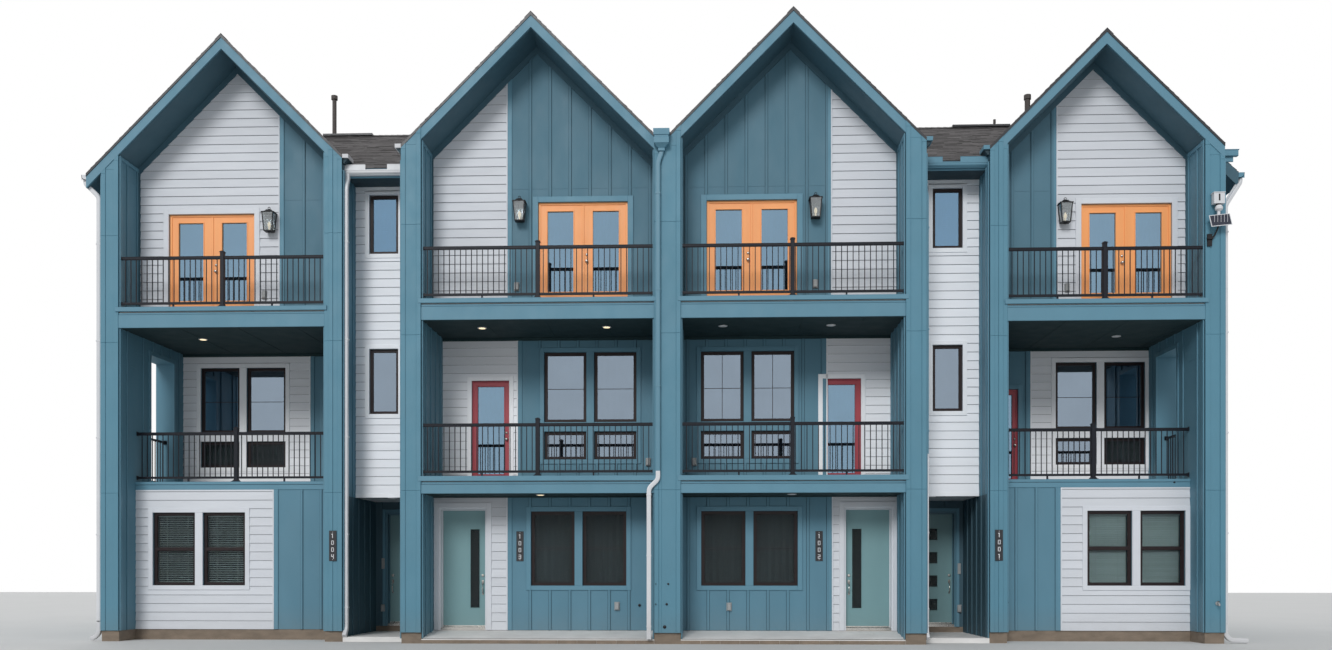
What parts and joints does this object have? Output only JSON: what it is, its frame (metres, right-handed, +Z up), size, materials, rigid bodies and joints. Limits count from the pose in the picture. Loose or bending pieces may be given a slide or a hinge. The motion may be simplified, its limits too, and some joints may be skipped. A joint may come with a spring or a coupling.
{
  "type": "terraced house row",
  "caption": "Row of three-storey terraced houses with steep front gables, recessed balconies with railings, narrow bays over entry passages, and hinged entry doors.",
  "frame": {"origin": "on the ground under the valley between the two middle houses, in the plane of their wing fronts", "axes": "+X along the row to the right as seen from the street, +Y back from the street, +Z up"},
  "size_m": [23.74, 11.545, 13.0337],
  "materials": {
    "concrete": "trowelled concrete",
    "teal_siding": "satin blue-grey painted board",
    "white_siding": "matt white painted board",
    "floor_boards": "painted timber deck",
    "shingles": "granular shingle",
    "trim": "satin blue-grey painted board",
    "dark_frame": "satin dark bronze",
    "clear_glass": "clear",
    "orange_door": "satin orange paint",
    "red_door": "satin red paint",
    "rail_metal": "satin near-black powder coat",
    "white_metal": "satin white",
    "entry_paint": "satin grey-green paint",
    "jamb_paint": "satin white paint",
    "handle_metal": "brushed",
    "lantern_metal": "matt black",
    "plaque": "satin black plate"
  },
  "bodies": {
    "house_row": {"balcony_doors": "red_door", "bay_floors": "floor_boards", "bay_roof_backs": "shingles", "bay_roof_fronts": "shingles", "bay_walls": "white_siding", "conductor_head": "trim", "door_heads": "jamb_paint", "door_hinges": "handle_metal", "door_jambs": "jamb_paint", "door_sills": "handle_metal", "downspouts": "white_metal", "foundation": "concrete", "french_doors": "orange_door", "ground_front_walls": "white_siding", "gutters": "white_metal", "lanterns": "lantern_metal", "left_party_wall": "teal_siding", "left_rake_boards": "trim", "left_roof_slopes": "shingles", "left_side_wall": "teal_siding", "middle_floors": "floor_boards", "middle_front_walls": "white_siding", "middle_party_wall": "teal_siding", "middle_railings": "rail_metal", "number_plaques": "plaque", "passage_ceilings": "white_siding", "passage_walls": "teal_siding", "porch_slabs": "concrete", "rear_walls": "teal_siding", "rear_window_frames": "dark_frame", "rear_window_panes": "clear_glass", "right_party_wall": "teal_siding", "right_rake_boards": "trim", "right_roof_slopes": "shingles", "right_side_wall": "teal_siding", "side_railings": "rail_metal", "top_floors": "floor_boards", "top_front_walls": "white_siding", "top_railings": "rail_metal", "upper_door_panes": "clear_glass", "vent_pipes": "lantern_metal", "wall_over_doors": "white_siding", "window_frames": "dark_frame", "window_panes": "clear_glass", "wing_walls": "teal_siding"},
    "door_a": {"entry_door_a": "entry_paint", "entry_door_glass_a": "clear_glass", "entry_handle_a": "handle_metal"},
    "door_b": {"entry_door_b": "entry_paint", "entry_door_glass_b": "clear_glass", "entry_handle_b": "handle_metal"},
    "door_c": {"entry_door_c": "entry_paint", "entry_door_glass_c": "clear_glass", "entry_handle_c": "handle_metal"},
    "door_d": {"entry_door_d": "entry_paint", "entry_door_glass_d": "clear_glass", "entry_handle_d": "handle_metal"}
  },
  "joints": [
    {"name": "door_a_hinge", "type": "hinge", "parent": "house_row", "child": "door_a", "pos_m": [-5.3525, 3.006, 0.28], "axis": [0, 0, -1], "range_deg": [0, 90]},
    {"name": "door_b_hinge", "type": "hinge", "parent": "house_row", "child": "door_b", "pos_m": [-4.6405, 1.206, 0.28], "axis": [0, 0, 1], "range_deg": [0, 90]},
    {"name": "door_c_hinge", "type": "hinge", "parent": "house_row", "child": "door_c", "pos_m": [4.6755, 1.206, 0.28], "axis": [0, 0, -1], "range_deg": [0, 90]},
    {"name": "door_d_hinge", "type": "hinge", "parent": "house_row", "child": "door_d", "pos_m": [5.4235, 3.006, 0.28], "axis": [0, 0, 1], "range_deg": [0, 90]}
  ]
}
